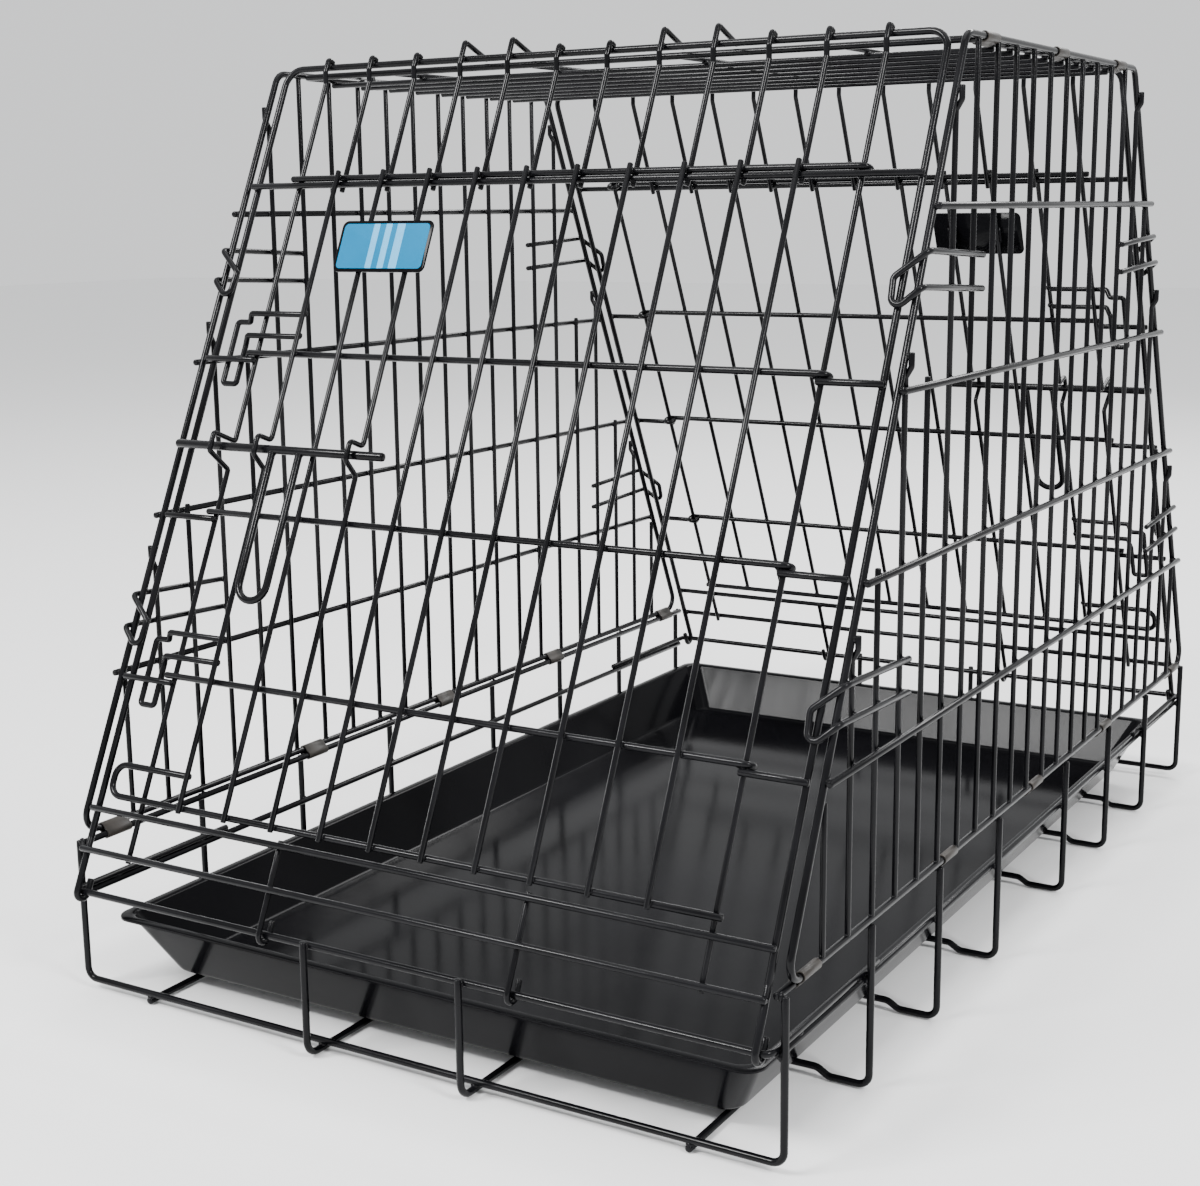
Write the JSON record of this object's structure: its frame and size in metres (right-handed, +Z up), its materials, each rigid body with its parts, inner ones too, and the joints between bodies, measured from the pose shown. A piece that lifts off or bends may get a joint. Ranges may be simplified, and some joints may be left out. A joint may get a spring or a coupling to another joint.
{
  "type": "wire dog crate",
  "caption": "Folding black wire dog crate for a car, with two sloping ends, a door with a slide bolt in each end, and a lift-in plastic tray.",
  "frame": {"origin": "middle of the crate's footprint, on the floor under the base wires", "axes": "+X to the crate's right as seen from its front end, -Y towards the front end, +Z up"},
  "size_m": [0.5804, 0.9478, 0.6844],
  "materials": {
    "black_wire": "gloss black coating on round steel wire",
    "sleeve_metal": "dark brown coated crimped sheet",
    "tray_plastic": "smooth black moulded plastic with a soft gloss",
    "label_plastic": "glossy blue printed face on a black backing"
  },
  "bodies": {
    "base": {"base_end_frames": "black_wire", "base_cross_wires": "black_wire", "base_long_wires": "black_wire", "base_rims": "black_wire", "base_side_rails": "black_wire", "base_end_rails": "black_wire", "side_hinge_sleeves": "sleeve_metal"},
    "tray": {"tray": "tray_plastic"},
    "front_panel": {"front_frame": "black_wire", "front_header_bars": "black_wire", "front_jambs": "black_wire", "front_cross_wires": "black_wire", "front_stubs": "black_wire", "front_rail_hooks": "black_wire"},
    "front_door": {"front_door_bars": "black_wire", "front_door_rails": "black_wire", "front_door_hooks": "black_wire", "front_label_plate": "label_plastic"},
    "front_slide_bolt": {"front_bolt": "black_wire"},
    "rear_panel": {"rear_frame": "black_wire", "rear_header_bars": "black_wire", "rear_jambs": "black_wire", "rear_cross_wires": "black_wire", "rear_stubs": "black_wire", "rear_rail_hooks": "black_wire"},
    "rear_door": {"rear_door_bars": "black_wire", "rear_door_rails": "black_wire", "rear_door_hooks": "black_wire", "rear_label_plate": "label_plastic"},
    "rear_slide_bolt": {"rear_bolt": "black_wire"},
    "left_side": {"left_frame": "black_wire", "left_bars": "black_wire", "left_rails": "black_wire", "left_clips": "black_wire"},
    "right_side": {"right_frame": "black_wire", "right_bars": "black_wire", "right_rails": "black_wire", "right_clips": "black_wire", "top_hinge_sleeves": "sleeve_metal"},
    "top_panel": {"top_frame": "black_wire", "top_cross_wires": "black_wire", "top_long_wires": "black_wire", "top_catches": "black_wire"}
  },
  "joints": [
    {"name": "front_panel_fold", "type": "hinge", "parent": "base", "child": "front_panel", "pos_m": [0, -0.466, 0.08], "axis": [-1, 0, 0], "range_deg": [0, 64]},
    {"name": "rear_panel_fold", "type": "hinge", "parent": "base", "child": "rear_panel", "pos_m": [0, 0.466, 0.08], "axis": [1, 0, 0], "range_deg": [0, 58]},
    {"name": "front_door_swing", "type": "hinge", "parent": "front_panel", "child": "front_door", "pos_m": [0.231, -0.35246, 0.33601], "axis": [0, -0.4243, -0.9055], "range_deg": [-140, 0]},
    {"name": "rear_door_swing", "type": "hinge", "parent": "rear_panel", "child": "rear_door", "pos_m": [-0.231, 0.35246, 0.33601], "axis": [0, 0.4243, -0.9055], "range_deg": [-140, 0]},
    {"name": "front_bolt_slide", "type": "slide", "parent": "front_door", "child": "front_slide_bolt", "axis": [1, 0, 0], "range_m": [0, 0.043]},
    {"name": "rear_bolt_slide", "type": "slide", "parent": "rear_door", "child": "rear_slide_bolt", "axis": [-1, 0, 0], "range_m": [0, 0.043]},
    {"name": "right_side_fold", "type": "hinge", "parent": "base", "child": "right_side", "pos_m": [0.283, 0, 0.1174], "axis": [0, 1, 0], "range_deg": [0, 90]},
    {"name": "left_side_fold", "type": "hinge", "parent": "base", "child": "left_side", "pos_m": [-0.283, 0, 0.1174], "axis": [0, -1, 0], "range_deg": [0, 90]},
    {"name": "top_panel_fold", "type": "hinge", "parent": "right_side", "child": "top_panel", "pos_m": [0.2775, 0, 0.666], "axis": [0, -1, 0], "range_deg": [-95, 0]},
    {"name": "tray_lift", "type": "slide", "parent": "base", "child": "tray", "axis": [0, 0, -1], "range_m": [-0.015, 0]}
  ]
}
